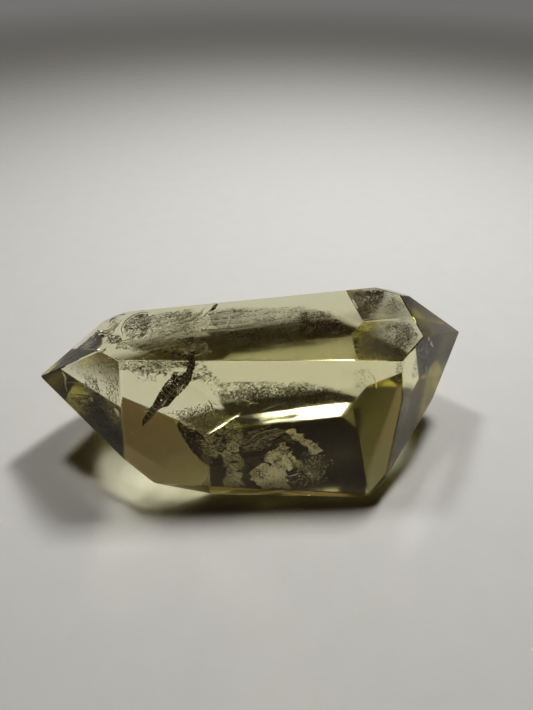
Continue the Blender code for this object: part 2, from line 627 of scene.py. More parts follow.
@dataclass(frozen=True)
class Break:
    """Everything that lies in one plane of weakness inside the stone.

    Args:
        name: what its pieces' names start with.
        place: the plane's middle, in millimetres.
        along: its first direction, of length 1.
        across: its second, square to the first.
        bow: how far it bulges at 10 mm from its middle, in millimetres.
        patches: the sheets of its crack.
        streaks: the lines on its crack.
        flecks: the swarms about it.
        seed: what its random values start from.
    """

    name: str
    place: tuple[float, float, float]
    along: tuple[float, float, float]
    across: tuple[float, float, float]
    bow: float = 0.3
    patches: tuple[Patch, ...] = ()
    streaks: tuple[Streak, ...] = ()
    flecks: tuple[Flecks, ...] = ()
    seed: int = 1

    def at(self, u: np.ndarray, v: np.ndarray, rise: np.ndarray | float = 0.0) -> np.ndarray:
        """Puts points of the plane in the stone.

        A point is the middle, plus u along, plus v across, plus its rise and the bow on
        the plane's normal. The bow grows with the square of the distance from the middle.

        Args:
            u: the points' first coordinate, in millimetres.
            v: their second.
            rise: how far they lie off the plane, in millimetres.

        Returns:
            The points in metres, three numbers each.
        """
        along, across = np.array(self.along), np.array(self.across)
        lift = rise + self.bow * (u**2 + v**2) / BOW_REACH**2
        normal = np.cross(along, across)
        spot = u[..., None] * along + v[..., None] * across + lift[..., None] * normal
        return (np.array(self.place) + spot) * MM

    def build(self, space: StoneSpace, finish: bpy.types.Material) -> None:
        """Makes the plane's cracks as one piece and its flecks as another.

        Args:
            space: the inside of the stone.
            finish: the pieces' material.
        """
        if self.patches or self.streaks:
            self.cracks(space, finish)
        if self.flecks:
            self.swarm(space, finish)

    def cracks(self, space: StoneSpace, finish: bpy.types.Material) -> None:
        """Makes the patches and streaks: sheets of small squares, cut out and made solid.

        Args:
            space: the inside of the stone, past which no square is made.
            finish: the piece's material.
        """
        sheets = [self.sheet(patch, number) for number, patch in enumerate(self.patches)]
        sheets += [self.ribbon(streak) for streak in self.streaks]
        points, quads, light = join_parts(sheets)
        kept = space.holds(points)[quads].all(axis=1)
        add_piece(f"{self.name}_crack", points, quads[kept], light, finish, solid=True)

    def sheet(self, patch: Patch, number: int) -> Part:
        """Makes a patch as a grid of squares, with its outline and gaps made ragged.

        A square is kept if cloudy noise, added to its corners, leaves them in the outline
        and if another noise there is under the level that leaves the patch's cover.

        Args:
            patch: the patch.
            number: its place among the break's patches.

        Returns:
            Its points, squares and lightness.
        """
        outline = np.array(patch.outline)
        low, high = outline.min(axis=0) - CELL, outline.max(axis=0) + CELL
        sides = [np.arange(low[axis], high[axis], CELL) for axis in (0, 1)]
        u, v = np.meshgrid(*sides, indexing="ij")
        seed = self.seed * BREAK_SEEDS + number * PATCH_SEEDS
        shift = patch.ragged * cloud(u, v, EDGE_SIZE, seed + Draw.EDGE)
        inside = in_outline(u + shift, v + shift, outline)
        gaps = cloud(u, v, GAP_SIZE, seed + Draw.GAPS)
        inside &= gaps < np.quantile(gaps, patch.cover)
        quads = grid_quads(*u.shape)
        kept = inside.ravel()[quads].all(axis=1)
        if patch.haze < 1:
            kept &= patch.mist(u, v, quads[:, 0], seed)
        rise = patch.relief * cloud(u, v, RELIEF_SIZE, seed + Draw.RELIEF) + SHEET_STEP * number
        points = self.at(u, v, rise).reshape(-1, 3)
        return points, quads[kept], patch.lightness(u, v, seed + Draw.MARKS).ravel()

    def ribbon(self, streak: Streak) -> Part:
        """Makes a streak as a strip three points wide that narrows to both ends.

        Its width goes as a power of a half sine wave along it, and its middle line stands
        up from its sides.

        Args:
            streak: the streak.

        Returns:
            Its points, squares and lightness.
        """
        path = np.array(streak.path)
        steps = np.linspace(0, len(path) - 1, STREAK_STEPS * len(path))
        u, v = (np.interp(steps, np.arange(len(path)), path[:, axis]) for axis in (0, 1))
        run = np.stack([np.gradient(u), np.gradient(v)], axis=-1)
        run /= np.linalg.norm(run, axis=1, keepdims=True)
        wave = np.sin(np.pi * np.linspace(STREAK_TIP, 1 - STREAK_TIP, len(steps)))
        width = (streak.width * wave**STREAK_FULLNESS)[:, None]
        side = np.array([-0.5, 0.0, 0.5])
        crown = STREAK_CROWN * np.array([-1.0, 1.0, -1.0])
        u = u[:, None] - run[:, 1:] * width * side
        v = v[:, None] + run[:, :1] * width * side
        points = self.at(u, v, crown * width + STREAK_RISE).reshape(-1, 3)
        return points, grid_quads(*u.shape), np.full(u.size, streak.light)

    def swarm(self, space: StoneSpace, finish: bpy.types.Material) -> None:
        """Makes the flecks of every swarm as one piece.

        Args:
            space: the inside of the stone, past which no fleck reaches.
            finish: the piece's material.
        """
        parts = [self.scatter(flecks, number) for number, flecks in enumerate(self.flecks)]
        points, faces, light = join_parts(parts)
        held = space.holds(points)[faces].all(axis=1)
        whole = np.repeat(held.reshape(-1, FLECK_FACES).all(axis=1), FLECK_FACES)
        add_piece(f"{self.name}_flecks", points, faces[whole], light, finish)

    def scatter(self, flecks: Flecks, number: int) -> Part:
        """Strews one swarm of flecks, thick where cloudy noise is high.

        Their lengths go up from the shortest with the square of a random number, so that
        most are short. Each is turned in the plane and then tipped out of it.

        Args:
            flecks: the swarm.
            number: its place among the break's swarms.

        Returns:
            The flecks' points, faces and lightness.
        """
        rng = np.random.default_rng(self.seed * FLECK_SEEDS + number)
        outline = np.array(flecks.outline)
        low, high = outline.min(axis=0), outline.max(axis=0)
        u, v = (low + rng.random((flecks.count * FLECK_TRIES, 2)) * (high - low)).T
        dense = 0.5 + 0.5 * cloud(u, v, flecks.clumps, self.seed + number)
        kept = in_outline(u, v, outline) & (rng.random(u.size) < dense)
        u, v = u[kept][:flecks.count], v[kept][:flecks.count]
        shortest, longest = flecks.length
        size = shortest + (longest - shortest) * rng.random(u.size) ** 2
        way = np.radians(flecks.heading + flecks.wander * rng.normal(size=u.size))[:, None]
        tilt = rng.normal(scale=FLECK_TILT, size=u.size)[:, None]
        middle = self.at(u, v, flecks.depth * rng.uniform(-1, 1, u.size))
        along, across = np.array(self.along), np.array(self.across)
        run = np.cos(way) * along + np.sin(way) * across
        normal = np.cross(along, across)
        flat = np.cross(normal, run)
        side = flat * np.cos(tilt) + normal * np.sin(tilt)
        out = normal * np.cos(tilt) - flat * np.sin(tilt)
        halves = (
            run * size[:, None] / 2 * MM,
            side * (size * flecks.slim)[:, None] / 2 * MM,
            out * FLECK_THICK / 2 * MM,
        )
        return splinters(middle, *halves, rng.uniform(*flecks.light, u.size))


def grid_quads(rows: int, columns: int) -> np.ndarray:
    """The corner numbers of every square of a grid of points, row by row."""
    first = (np.arange(rows - 1)[:, None] * columns + np.arange(columns - 1)).ravel()
    return np.stack([first, first + columns, first + columns + 1, first + 1], axis=1)


def splinters(
    middle: np.ndarray, run: np.ndarray, side: np.ndarray, out: np.ndarray, light: np.ndarray
) -> Part:
    """Makes splinters: each has a corner at both ends of three axes through its middle.

    Args:
        middle: the splinters' middles, in metres.
        run: half of each one's long axis.
        side: half of its middle axis.
        out: half of its short axis.
        light: its lightness.

    Returns:
        Their points, eight triangles for each, and their lightness.
    """
    corners = np.stack([run, -run, side, -side, out, -out], axis=1) + middle[:, None]
    over = [(0, 2, 4), (2, 1, 4), (1, 3, 4), (3, 0, 4)]
    under = [(2, 0, 5), (1, 2, 5), (3, 1, 5), (0, 3, 5)]
    starts = FLECK_CORNERS * np.arange(len(middle))
    faces = np.array(over + under)[None] + starts[:, None, None]
    return corners.reshape(-1, 3), faces.reshape(-1, 3), np.repeat(light, FLECK_CORNERS)


def join_parts(parts: list[Part]) -> Part:
    """Joins parts, each with its points, faces and lightness, into one of each."""
    starts = np.cumsum([0] + [len(points) for points, _, _ in parts[:-1]])
    faces = [faces + start for (_, faces, _), start in zip(parts, starts)]
    points = [points for points, _, _ in parts]
    return np.vstack(points), np.vstack(faces), np.concatenate([light for _, _, light in parts])


def add_piece(
    name: str,
    points: np.ndarray,
    faces: np.ndarray,
    light: np.ndarray,
    finish: bpy.types.Material,
    solid: bool = False,
) -> bpy.types.Object:
    """Makes a piece of the points that its faces use, and rides it on the stone's body.

    Args:
        name: the piece's name.
        points: corners in metres.
        faces: corner numbers, one row a face.
        light: the lightness of each corner.
        finish: its material.
        solid: whether a thin wall is given to it by a Solidify modifier.

    Returns:
        The piece's object.
    """
    used, compact = np.unique(faces, return_inverse=True)
    mesh = bpy.data.meshes.new(name)
    mesh.from_pydata(points[used].tolist(), [], compact.reshape(faces.shape).tolist())
    lightness = mesh.attributes.new(LIGHTNESS, "FLOAT", "POINT")
    lightness.data.foreach_set("value", light[used].astype(np.float32))
    mesh.materials.append(finish)
    piece = bpy.data.objects.new(name, mesh)
    bpy.context.scene.collection.objects.link(piece)
    if solid:
        wall = piece.modifiers.new("wall", "SOLIDIFY")
        wall.thickness = FLECK_THICK * MM
        wall.offset = 0.0
    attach(piece, BODY)
    log.info("%s: %d faces", name, len(mesh.polygons))
    return piece


# The breaks. Their planes, and most of the points of their outlines and paths, are numbers
# that separate programs worked out: each took given points and followed their
# lines of sight into the stone. They aren't driving dimensions, and a change to the stone's
# facets doesn't move them. How light, dense and fine each break is was set by trial.

# The rippled disc fracture, low in the front of the stone. The break is real, and its pale
# patches are painted reflection: the light that such a break mirrors.
DISC = Break(
    name="disc",
    place=(1.5, -9.5, 3.0),
    along=(1.0, 0.0, 0.0),
    across=(0.0, 1.0, 0.0),
    patches=(
        # The striped crescent.
        Patch(
            outline=(
                (-6.4, 7.3), (-5.3, 8.4), (-4.7, 7.2), (-5.5, 5.0), (-6.0, 2.8), (-5.6, 0.5),
                (-6.0, -1.6), (-5.6, -3.3), (-6.0, -4.8), (-5.1, -6.4), (-6.7, -6.5), (-7.7, -5.4),
                (-8.4, -3.0), (-8.9, -0.5), (-9.0, 2.3), (-8.2, 3.8), (-7.2, 6.0),
            ),
            light=0.3, spread=0.2, grain=Grain.STRIPED, pitch=0.9, heading=-52.0, cover=0.95, haze=0.75,
        ),
        # The pale wedge.
        Patch(
            outline=(
                (-4.9, -3.3), (-3.2, -1.4), (-1.9, -0.1), (-0.5, -1.1), (1.4, -1.0), (2.1, -2.5),
                (1.5, -3.5), (1.5, -5.4), (1.9, -7.5), (-0.4, -7.8), (-2.7, -7.4), (-3.9, -6.1),
            ),
            light=0.42, spread=0.1, haze=0.85, pitch=1.6, ragged=0.4,
        ),
        # The crumpled middle.
        Patch(
            outline=(
                (-1.9, -0.1), (-1.6, 1.5), (-0.8, 2.8), (0.6, 3.5), (1.2, 4.5), (2.3, 5.0), (2.5, 3.6),
                (3.3, 2.6), (3.3, 1.0), (2.4, 0.2), (3.0, -0.9), (3.1, -2.3), (2.0, -3.3), (1.5, -1.6),
                (-0.2, -1.7),
            ),
            light=0.44, spread=0.2, grain=Grain.CREASED, cover=0.97, haze=0.85, pitch=0.8, relief=0.3,
        ),
        # The bright flake.
        Patch(
            outline=(
                (2.6, 8.1), (3.9, 8.3), (5.0, 6.7), (5.9, 5.2), (6.9, 4.8), (7.8, 3.6), (8.4, 2.4),
                (8.4, 1.3), (7.3, 0.6), (6.2, 1.5), (5.5, 3.3), (4.4, 4.5), (3.3, 5.5),
            ),
            light=0.6, spread=0.16, cover=0.96, haze=0.8, pitch=0.8, ragged=0.4,
        ),
        # The rings behind the middle.
        Patch(
            outline=(
                (-5.8, 6.1), (-3.6, 7.6), (-0.4, 8.4), (2.6, 7.9), (0.8, 6.0), (-1.7, 5.1), (-3.0, 3.6),
                (-5.1, 3.2), (-5.7, 4.4),
            ),
            light=0.15, spread=0.16, grain=Grain.RINGED, pitch=0.9, centre=(0.0, -6.0), haze=0.45,
        ),
        # The rings beside it.
        Patch(
            outline=(
                (3.1, -3.1), (4.8, -1.1), (6.5, 0.4), (8.2, -0.1), (8.8, -2.6), (8.1, -5.3), (6.3, -7.2),
                (4.2, -8.3), (2.4, -7.8), (2.0, -5.7),
            ),
            light=0.12, spread=0.14, grain=Grain.RINGED, pitch=1.1, centre=(0.0, -6.0), haze=0.3,
        ),
    ),
    streaks=(
        Streak(((-3.8, 5.6), (-2.6, 7.2), (-0.9, 7.9), (1.4, 8.3)), 0.25, 0.4),
        Streak(((-2.7, 5.2), (-1.3, 6.2), (0.6, 6.9), (2.7, 7.3)), 0.25, 0.35),
        Streak(((-5.3, 3.8), (-3.9, 4.2), (-1.8, 4.0)), 0.3, 0.3),
        Streak(((1.7, -4.8), (2.6, -4.7), (3.6, -4.3)), 0.25, 0.5),
        Streak(((1.9, -6.5), (2.9, -6.3), (4.0, -5.6)), 0.2, 0.4),
        Streak(((3.0, -8.2), (4.1, -7.8), (4.9, -6.8)), 0.2, 0.35),
        Streak(((5.5, -7.1), (6.2, -5.6), (7.2, -4.1)), 0.15, 0.4),
        Streak(((6.4, -6.7), (7.4, -5.5), (8.1, -3.9)), 0.15, 0.4),
    ),
    flecks=(
        Flecks(
            outline=(
                (4.6, 1.7), (8.5, 1.8), (10.2, -1.1), (9.4, -4.3), (6.6, -7.8), (3.6, -8.0), (3.5, -2.6),
            ),
            count=60, length=(0.15, 0.35), slim=0.8, wander=90.0, light=(0.3, 1.0),
        ),
        Flecks(
            outline=((-5.7, 7.8), (-1.4, 9.1), (3.5, 8.1), (5.0, 5.0), (-1.8, 3.4), (-5.7, 2.7)),
            count=420, length=(0.3, 1.3), slim=0.12, heading=18.0, wander=14.0, light=(0.1, 0.5),
        ),
    ),
    seed=11,
)

# The long dark veil along the lower back, with a sheet of painted shade behind its flecks.
BACK_VEIL = Break(
    name="back_veil",
    place=(8.25, 9.63, 2.52),
    along=(0.997, 0.053, -0.047),
    across=(0.0, -0.657, -0.754),
    bow=0.0,
    patches=(
        # Painted shade: a sheet behind the flecks that stands in for the shadow seen through the stone.
        Patch(
            outline=(
                (-16.0, -0.7), (-12.8, -2.2), (-7.2, -2.6), (-0.1, -2.4), (4.7, -1.6), (9.4, 0.5),
                (9.5, 2.1), (7.4, 2.6), (-7.4, 1.4), (-12.4, 0.7),
            ),
            light=0.2, spread=0.2, haze=0.4, fade=1.0, pitch=1.4, ragged=0.6,
        ),
    ),
    flecks=(
        Flecks(
            outline=(
                (-15.9, -3.2), (-11.2, -3.2), (-5.5, -2.9), (0.3, -2.6), (5.1, -1.5), (9.7, 0.6),
                (8.9, 2.1), (3.8, 2.0), (-0.1, 2.4), (-5.9, 2.8), (-11.6, 3.2), (-14.4, 3.2),
            ),
            count=3200, length=(0.2, 0.9), slim=0.14, heading=-12.0, wander=18.0, light=(0.15, 0.6),
            clumps=1.8, depth=0.6,
        ),
        Flecks(
            outline=(
                (-12.3, -1.6), (-5.8, -1.8), (-0.1, -1.7), (4.1, -0.9), (9.4, 1.5), (9.7, 3.3),
                (-0.3, 2.2), (-7.5, 1.8), (-11.5, 0.8),
            ),
            count=1500, length=(0.15, 0.6), slim=0.2, heading=-14.0, wander=25.0, light=(0.1, 0.7),
            clumps=1.0, depth=0.5,
        ),
    ),
    seed=21,
)

# The veil just under the top side. Its striped sheet is partly painted shade, and its dark
# end is painted shade: they stand in for the shadow seen through the top.
TOP_VEIL = Break(
    name="top_veil",
    place=(2.01, 3.42, 22.38),
    along=(1.0, 0.0, -0.024),
    across=(0.0, 1.0, -0.02),
    bow=0.0,
    patches=(
        Patch(
            outline=(
                (-11.1, 1.5), (-8.0, 2.8), (-3.2, 2.8), (5.5, 2.6), (10.8, 0.8), (11.8, -2.7),
                (6.3, -3.2), (-2.0, -3.2), (-10.9, -2.9),
            ),
            light=0.3, spread=0.2, grain=Grain.STRIPED, pitch=1.5, heading=4.0, haze=0.6, fade=1.2,
            ragged=0.7,
        ),
        # Its dark end: painted shade.
        Patch(
            outline=(
                (4.6, 1.2), (9.6, 0.6), (12.3, -2.7), (12.9, -5.5), (9.2, -5.7), (4.4, -4.9), (3.2, -1.6),
            ),
            light=0.0, spread=0.02, haze=0.9, fade=2.4, ragged=0.3,
        ),
    ),
    streaks=(
        Streak(((-11.8, -3.7), (-8.2, -3.6), (-4.5, -3.3), (-0.9, -2.5)), 0.35, 0.5),
    ),
    flecks=(
        Flecks(
            outline=(
                (-11.1, 0.4), (-6.6, 2.4), (5.5, 2.6), (11.1, -0.4), (11.9, -4.9), (9.7, -7.3),
                (4.0, -7.7), (-4.0, -8.0), (-10.2, -8.5),
            ),
            count=1500, length=(0.15, 0.8), slim=0.12, heading=6.0, wander=10.0, light=(0.2, 0.8),
            clumps=1.5,
        ),
    ),
    seed=25,
)

# The cloud under the long point's shoulder.
SHOULDER_CLOUD = Break(
    name="shoulder_cloud",
    place=(-15.68, 2.0, 19.05),
    along=(0.993, 0.042, -0.112),
    across=(0.0, 0.936, 0.352),
    patches=(
        # The striped oval.
        Patch(
            outline=(
                (-6.9, 0.1), (-7.0, 1.5), (-6.5, 2.9), (-5.6, 4.0), (-4.3, 4.7), (-3.1, 4.7), (-2.4, 3.4),
                (-2.5, 1.5), (-2.9, -0.1), (-4.0, -1.2), (-5.6, -1.1),
            ),
            light=0.16, spread=0.12, grain=Grain.STRIPED, heading=65.0, haze=0.85, pitch=1.1,
        ),
        # The cloud itself.
        Patch(
            outline=(
                (-4.2, 2.5), (-2.3, 4.4), (0.8, 5.0), (4.2, 5.4), (6.6, 4.5), (7.5, 2.5), (6.4, -0.3),
                (5.1, -1.6), (1.8, -2.8), (-0.7, -4.4), (-3.9, -4.3), (-7.0, -3.7), (-8.4, -2.3),
                (-5.9, -1.1), (-4.0, -1.0),
            ),
            light=0.4, spread=0.25, grain=Grain.STRIPED, haze=0.5, pitch=0.9, heading=20.0, ragged=0.6,
        ),
        # A dark blade.
        Patch(
            outline=((9.1, 6.7), (8.5, 5.2), (7.3, 4.3), (5.8, 2.6), (6.4, 4.0), (7.5, 5.3), (8.2, 6.5)),
            light=0.12, spread=0.08, haze=0.7, ragged=0.1,
        ),
        # A dark eye.
        Patch(
            outline=((2.1, -1.9), (3.1, -1.3), (4.4, -1.3), (5.1, -2.0), (4.4, -2.7), (3.1, -2.8)),
            light=0.06, spread=0.06, haze=0.8, ragged=0.15,
        ),
        # A dark lip.
        Patch(
            outline=(
                (0.9, -4.1), (2.5, -4.6), (4.4, -5.1), (5.7, -4.5), (6.2, -4.7), (5.0, -5.5), (3.1, -5.7),
                (1.2, -4.9),
            ),
            light=0.0, spread=0.03, haze=0.8, ragged=0.1,
        ),
    ),
    streaks=(
        Streak(((-6.9, -0.4), (-7.2, 1.2), (-6.6, 3.1), (-5.6, 4.3), (-4.1, 5.0), (-2.9, 4.9)), 0.2, 0.5),
        Streak(((5.8, 0.4), (8.3, 0.3), (11.7, 0.4), (14.4, 1.3), (17.2, 1.9)), 0.3, 0.45),
        Streak(((-2.1, -0.1), (0.0, 1.2), (2.1, 2.3), (4.1, 2.7)), 0.12, 0.7),
        Streak(((-1.6, -1.7), (0.5, -0.3), (2.8, 0.8), (4.8, 1.4)), 0.12, 0.7),
        Streak(((-2.4, -0.1), (0.2, 0.7), (3.1, 3.2)), 0.1, 0.6),
        Streak(((-2.1, -1.3), (1.1, 0.0), (4.1, 1.7)), 0.1, 0.6),
        Streak(((-2.5, 1.0), (-0.2, 2.4), (2.5, 4.2)), 0.1, 0.6),
        Streak(((-0.8, -0.9), (2.5, 0.8), (5.8, 2.1)), 0.1, 0.6),
        Streak(((4.8, 1.6), (4.8, 0.7)), 0.5, 1.0),
        Streak(((2.5, -1.9), (3.4, -1.1), (4.8, -1.1), (5.7, -1.6)), 0.2, 0.6),
        Streak(((4.5, 3.1), (5.5, 4.1), (6.6, 5.6)), 0.2, 0.6),
        Streak(((3.8, 0.3), (4.5, 1.7), (5.2, 2.9)), 0.25, 0.7),
        Streak(((-7.1, -1.7), (-6.1, -1.3), (-5.1, -1.1)), 0.2, 0.6),
        Streak(((3.3, -4.6), (4.7, -5.5), (6.0, -4.9), (6.7, -4.3)), 0.2, 0.7),
    ),
    flecks=(
        Flecks(
            outline=(
                (-2.1, -1.9), (1.8, -1.4), (6.7, -1.9), (7.6, -4.4), (6.6, -5.8), (2.1, -5.6),
                (-0.7, -4.4),
            ),
            count=450, length=(0.2, 1.0), slim=0.22, heading=15.0, wander=50.0, light=(0.0, 0.9),
            clumps=0.8,
        ),
        Flecks(
            outline=((-5.8, -2.4), (-2.4, -2.2), (-0.7, -4.0), (-1.3, -5.9), (-4.4, -5.7)),
            count=120, length=(0.2, 0.6), slim=0.4, heading=40.0, wander=50.0, light=(0.1, 1.0),
            clumps=0.8,
        ),
        # Long needles across the cloud.
        Flecks(
            outline=(
                (-4.2, 2.5), (-2.3, 4.4), (0.8, 5.0), (4.2, 5.4), (6.6, 4.5), (7.5, 2.5), (6.4, -0.3),
                (5.1, -1.6), (1.8, -2.8), (-2.7, -2.6),
            ),
            count=560, length=(0.3, 1.8), slim=0.07, heading=24.0, wander=16.0, light=(0.25, 0.9),
            clumps=1.6,
        ),
    ),
    seed=31,
)

# A line of specks by the front ridge.
SHOULDER_SPECKS = Break(
    name="shoulder_specks",
    place=(-19.51, -6.5, 22.85),
    along=(0.999, 0.043, -0.025),
    across=(0.0, 0.503, 0.865),
    flecks=(
        Flecks(
            outline=((-2.1, 0.7), (2.3, 0.5), (4.0, -0.4), (2.1, -1.1), (-1.4, -0.4)),
            count=90, length=(0.15, 0.4), slim=0.35, heading=-10.0, wander=30.0, light=(0.05, 0.7),
            clumps=0.7,
        ),
    ),
    seed=41,
)

# The bright ribs that the chips left in the ridge.
CHIP_RIBS = Break(
    name="chip_ribs",
    place=(-25.1, 3.38, 22.67),
    along=(0.932, 0.024, 0.361),
    across=(0.0, 0.998, -0.066),
    bow=0.0,
    patches=(
        Patch(
            outline=((0.6, -3.0), (3.5, -4.7), (6.1, -6.8), (3.5, -7.2), (0.6, -6.1)),
            light=0.12, spread=0.1, haze=0.6, fade=0.6, ragged=0.5,
        ),
    ),
    streaks=(
        Streak(((-1.5, -0.5), (-0.2, -2.4), (0.8, -2.8), (2.0, -1.3), (2.8, -0.4)), 0.45, 1.0),
        Streak(((0.8, -1.8), (1.6, -0.9), (2.3, 0.6)), 0.22, 0.9),
        Streak(((0.7, 0.0), (0.8, 1.0), (2.0, 1.2), (3.5, 1.1)), 0.28, 0.95),
        Streak(((1.2, 0.3), (2.1, -0.5), (1.7, -1.5)), 0.18, 0.8),
        Streak(((0.4, -1.2), (1.1, -0.4), (1.9, 0.9)), 0.15, 0.1),
        Streak(((-0.4, -1.5), (0.4, -2.0), (1.3, -1.6)), 0.15, 0.1),
    ),
    seed=45,
)

# The long point's top: a dark band of painted shade, and painted glints.
NOSE_GLINTS = Break(
    name="nose_glints",
    place=(-27.89, -1.76, 21.57),
    along=(0.801, 0.04, 0.597),
    across=(0.0, 0.998, -0.067),
    bow=0.0,
    patches=(
        # The dark band: painted shade.
        Patch(
            outline=(
                (-9.8, 2.7), (-6.8, 3.1), (-2.1, 3.7), (1.1, 4.2), (3.7, 1.5), (3.6, -1.1), (0.8, -0.4),
                (-2.1, 0.3), (-5.7, 1.1), (-8.6, 1.5),
            ),
            light=0.03, spread=0.1, grain=Grain.STRIPED, pitch=1.3, heading=-4.0, haze=0.8, ragged=0.3,
        ),
    ),
    streaks=(
        Streak(((-2.4, 6.5), (-2.3, 4.5), (-2.2, 2.9)), 0.25, 0.9),
        Streak(((-1.2, -0.5), (0.5, -0.9), (2.3, -1.2), (4.0, -1.9)), 0.3, 1.0),
        Streak(((2.1, -1.3), (3.3, -1.6), (4.2, -1.6)), 0.25, 1.0),
        Streak(((-0.9, -1.0), (1.6, -2.0), (3.5, -2.6)), 0.3, 0.0),
        Streak(((-9.0, 2.3), (-6.0, 2.2), (-2.7, 2.3), (1.1, 2.3)), 0.5, 0.1),
    ),
    seed=47,
)

# The veils and sparks in the long point's front. The sparks are painted glints, and the
# dark lower veil is partly painted shade.
POINT_VEIL = Break(
    name="point_veil",
    place=(-26.53, -5.9, 16.96),
    along=(0.804, -0.537, 0.257),
    across=(0.0, 0.432, 0.902),
    bow=0.0,
    patches=(
        # The dark lower veil, partly painted shade.
        Patch(
            outline=(
                (-7.3, -1.9), (-2.5, -0.7), (1.0, -0.8), (1.7, -2.1), (2.2, -4.4), (3.9, -7.5),
                (4.3, -9.1), (1.6, -7.6), (-2.1, -5.2), (-5.1, -2.9),
            ),
            light=0.03, spread=0.05, grain=Grain.STRIPED, pitch=1.2, heading=10.0, haze=0.55, fade=0.6,
        ),
        # A pale puff.
        Patch(
            outline=((-0.5, 3.3), (0.8, 2.1), (1.4, 0.2), (-0.8, -0.5), (-2.0, 0.7)),
            light=0.45, spread=0.2, haze=0.4,
        ),
    ),
    streaks=(
        Streak(((-7.4, 2.5), (-6.8, 1.5), (-7.1, 0.3), (-6.9, -0.9)), 0.45, 0.9),
        Streak(((-6.8, 0.7), (-4.8, 1.0), (-1.9, 1.2)), 0.12, 0.7),
        Streak(((-2.0, 1.7), (-1.9, 1.1), (-2.3, 0.3)), 0.35, 1.0),
        Streak(((-2.4, -0.2), (-1.4, -0.2)), 0.45, 1.0),
        Streak(((-1.3, -0.9), (-1.0, -1.7)), 0.7, 1.0),
        Streak(((3.9, -2.0), (4.5, -2.6), (4.6, -3.2)), 0.7, 1.0),
        Streak(((2.9, 3.7), (3.2, 3.1)), 0.3, 0.9),
        Streak(((-6.2, -1.2), (-2.5, -0.9), (1.0, -0.8)), 0.2, 0.25),
    ),
    flecks=(
        Flecks(
            outline=(
                (-5.2, 3.3), (1.7, 5.8), (5.3, 5.3), (4.6, -0.6), (2.1, -1.0), (0.8, 0.8), (-3.1, 1.9),
            ),
            count=380, length=(0.15, 0.8), slim=0.2, heading=-60.0, wander=40.0, light=(0.1, 1.0),
            clumps=1.2,
        ),
        Flecks(
            outline=((2.4, 2.4), (5.4, 3.4), (4.1, -7.4), (2.2, -4.4)),
            count=220, length=(0.15, 0.8), slim=0.25, heading=-70.0, wander=25.0, light=(0.05, 0.8),
            clumps=1.0,
        ),
    ),
    seed=49,
)

# The open feather, leaf shaped, that runs from the ridge into the stone.
LEAF_FEATHER = Break(
    name="leaf_feather",
    place=(-15.05, -7.61, 17.98),
    along=(0.954, 0.269, -0.131),
    across=(0.0, 0.439, 0.899),
    patches=(
        Patch(
            outline=(
                (4.8, 4.7), (4.6, 3.6), (4.1, 2.6), (3.8, 1.5), (2.9, 0.5), (1.9, -0.4), (0.8, -1.3),
                (-0.2, -2.3), (-1.4, -2.5), (-2.4, -3.2), (-3.4, -4.2), (-4.9, -5.3), (-4.5, -3.8),
                (-3.4, -2.4), (-2.5, -1.3), (-1.7, -0.1), (-0.9, 1.1), (0.1, 2.3), (1.2, 3.2), (1.9, 3.3),
                (1.6, 2.7), (2.3, 2.7), (3.0, 3.2), (3.3, 4.0), (3.8, 4.8),
            ),
            light=0.1, spread=0.09, grain=Grain.RINGED, pitch=0.7, centre=(4.6, 4.6), ragged=0.03,
            haze=0.93,
        ),
    ),
    streaks=(
        Streak(((2.4, 1.1), (1.8, 0.3), (1.5, -0.4)), 0.45, 0.7),
        Streak(((-0.4, -1.0), (-0.9, -1.6), (-1.3, -2.1)), 0.35, 0.6),
        Streak(((4.2, 4.5), (3.1, 2.6), (1.7, 1.1), (-0.1, -0.7), (-2.2, -2.6), (-4.4, -4.6)), 0.1, 0.3),
        Streak(((3.3, 3.2), (1.9, 1.8), (0.2, 0.1), (-1.4, -1.5)), 0.1, 0.3),
    ),
    seed=51,
)

# A thin shade and two glints behind the front side.
FRONT_GLINTS = Break(
    name="front_glints",
    place=(-2.6, -11.44, 15.6),
    along=(0.999, -0.044, 0.018),
    across=(0.0, 0.383, 0.924),
    bow=0.0,
    patches=(
        Patch(
            outline=(
                (-14.2, 0.9), (-10.0, 1.6), (-6.8, 2.4), (-5.0, 2.0), (-4.0, 0.6), (-7.9, -1.0),
                (-11.7, -0.4),
            ),
            light=0.16, spread=0.1, haze=0.3, fade=1.0, ragged=0.4,
        ),
    ),
    streaks=(
        Streak(((-4.4, -1.3), (-3.0, -0.5), (-1.5, 0.3)), 0.3, 1.0),
        Streak(((-15.9, 1.9), (-15.9, 1.2)), 0.9, 1.0),
    ),
    seed=55,
)

